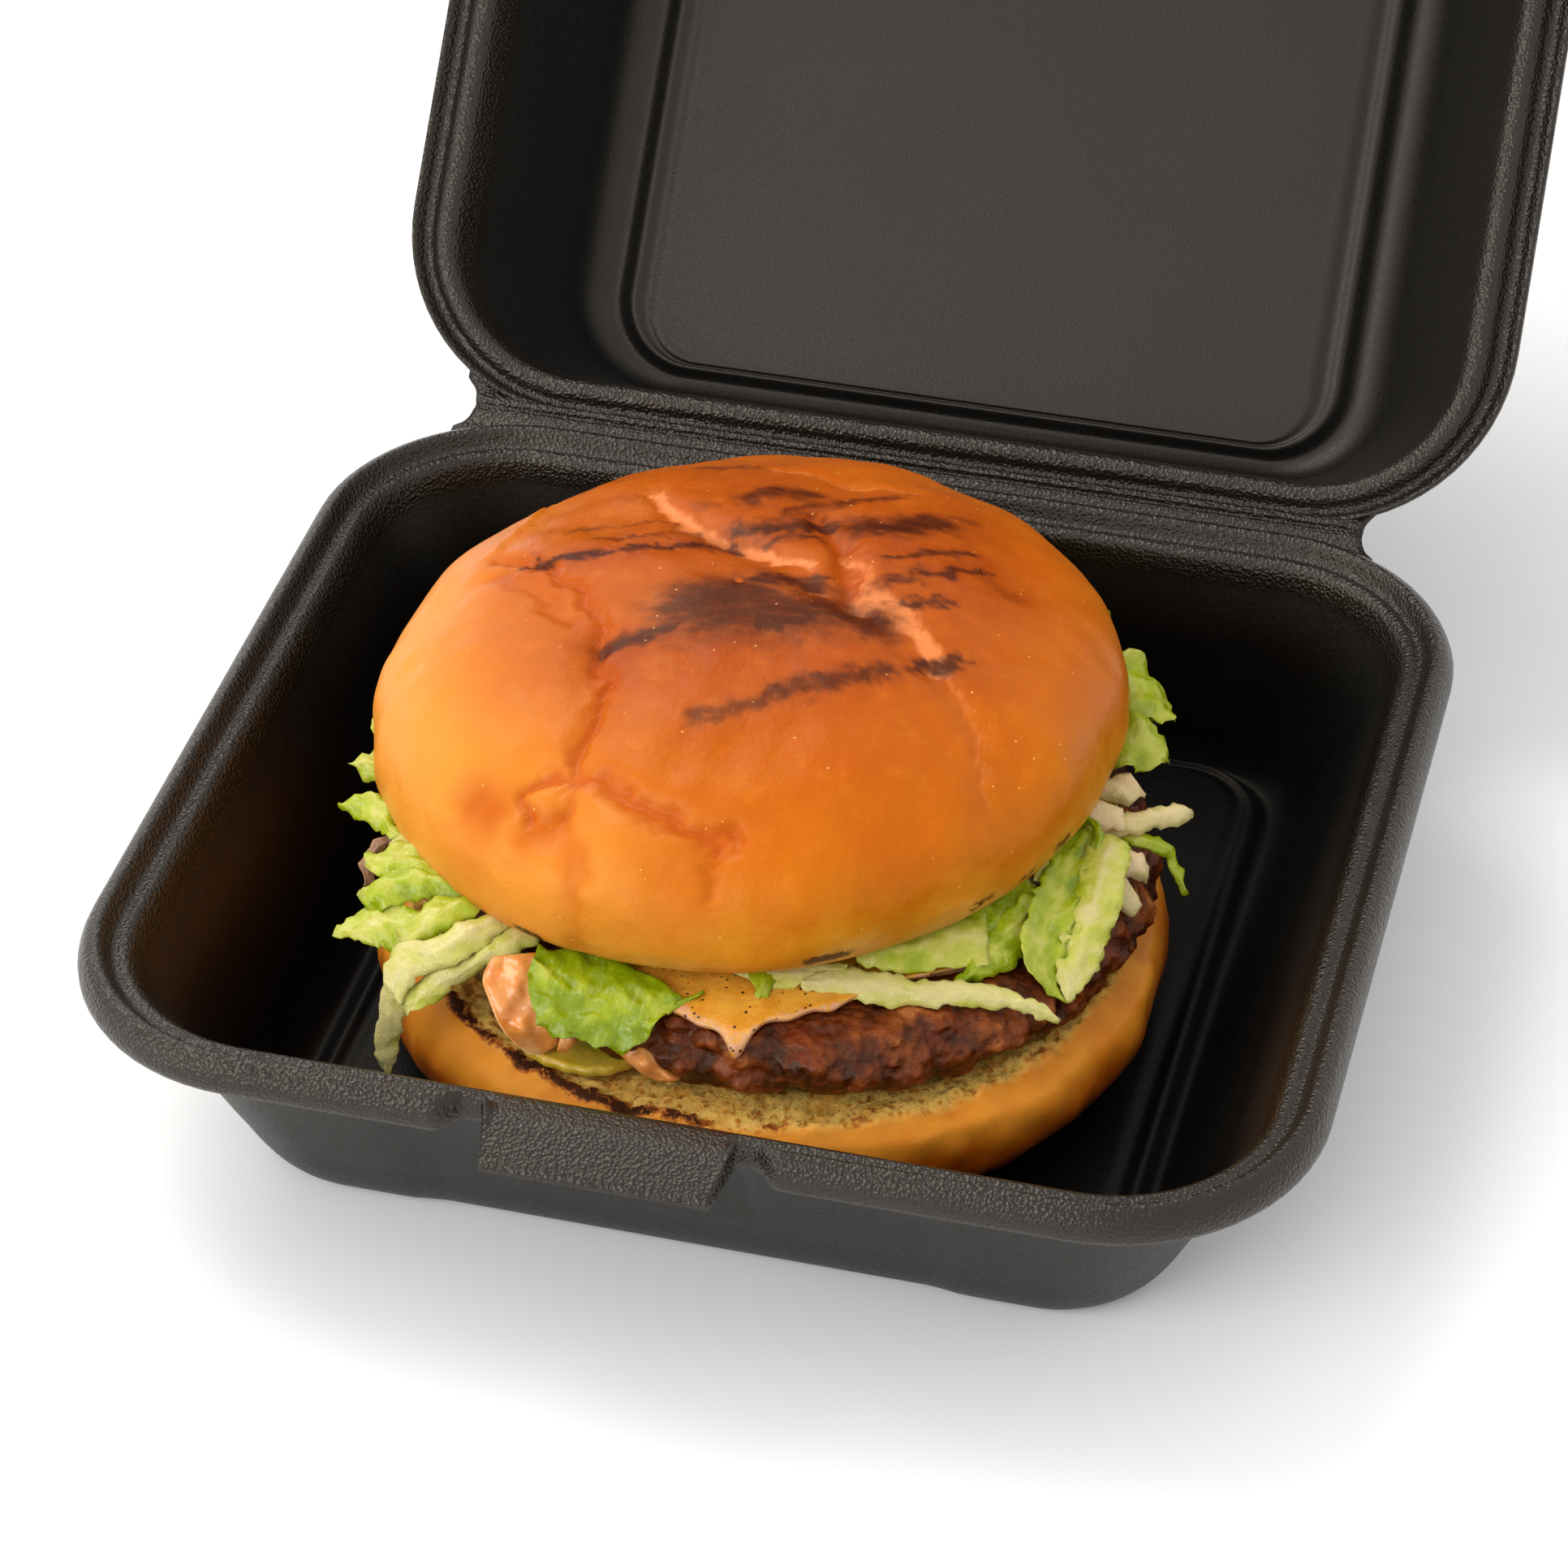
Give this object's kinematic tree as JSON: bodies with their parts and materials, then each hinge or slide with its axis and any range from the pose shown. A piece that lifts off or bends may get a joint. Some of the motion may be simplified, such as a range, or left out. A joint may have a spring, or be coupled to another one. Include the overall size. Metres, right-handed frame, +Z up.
{
  "type": "burger in a clamshell box",
  "caption": "Burger with bun, patty, cheese, sauce, pickle and lettuce in an open hinged clamshell box with a deep tray, a rolled rim and a lid that shuts over it.",
  "frame": {"origin": "middle of the tray's flat bottom, on the surface it stands on", "axes": "+X along the hinge to the right as seen from the front, +Y from the front flap towards the hinge and the open lid, +Z up"},
  "size_m": [0.152, 0.2441, 0.1374],
  "materials": {
    "box": "charcoal moulded foam plastic with a fine leathery grain",
    "bun_bottom": "baked bread crust with a pale crumb face, stands in for bread",
    "pickle": "moist, stands in for pickle",
    "patty": "browned and greasy, stands in for minced meat",
    "sauce": "glossy, stands in for burger sauce",
    "cheese": "melted and glossy, stands in for cheese",
    "lettuce": "crisp and slightly wet, stands in for lettuce",
    "bun_top": "egg-washed golden crust, stands in for bread"
  },
  "bodies": {
    "tray": {"tray": "box", "bun_bottom": "bun_bottom", "pickle": "pickle", "patty": "patty", "sauce": "sauce", "cheese": "cheese", "lettuce": "lettuce", "bun_top": "bun_top"},
    "lid": {"lid": "box"}
  },
  "joints": [
    {"name": "lid_hinge", "type": "hinge", "parent": "tray", "child": "lid", "pos_m": [0, 0.071, 0.033], "axis": [1, 0, 0], "range_deg": [-48.2, 131.4]}
  ]
}
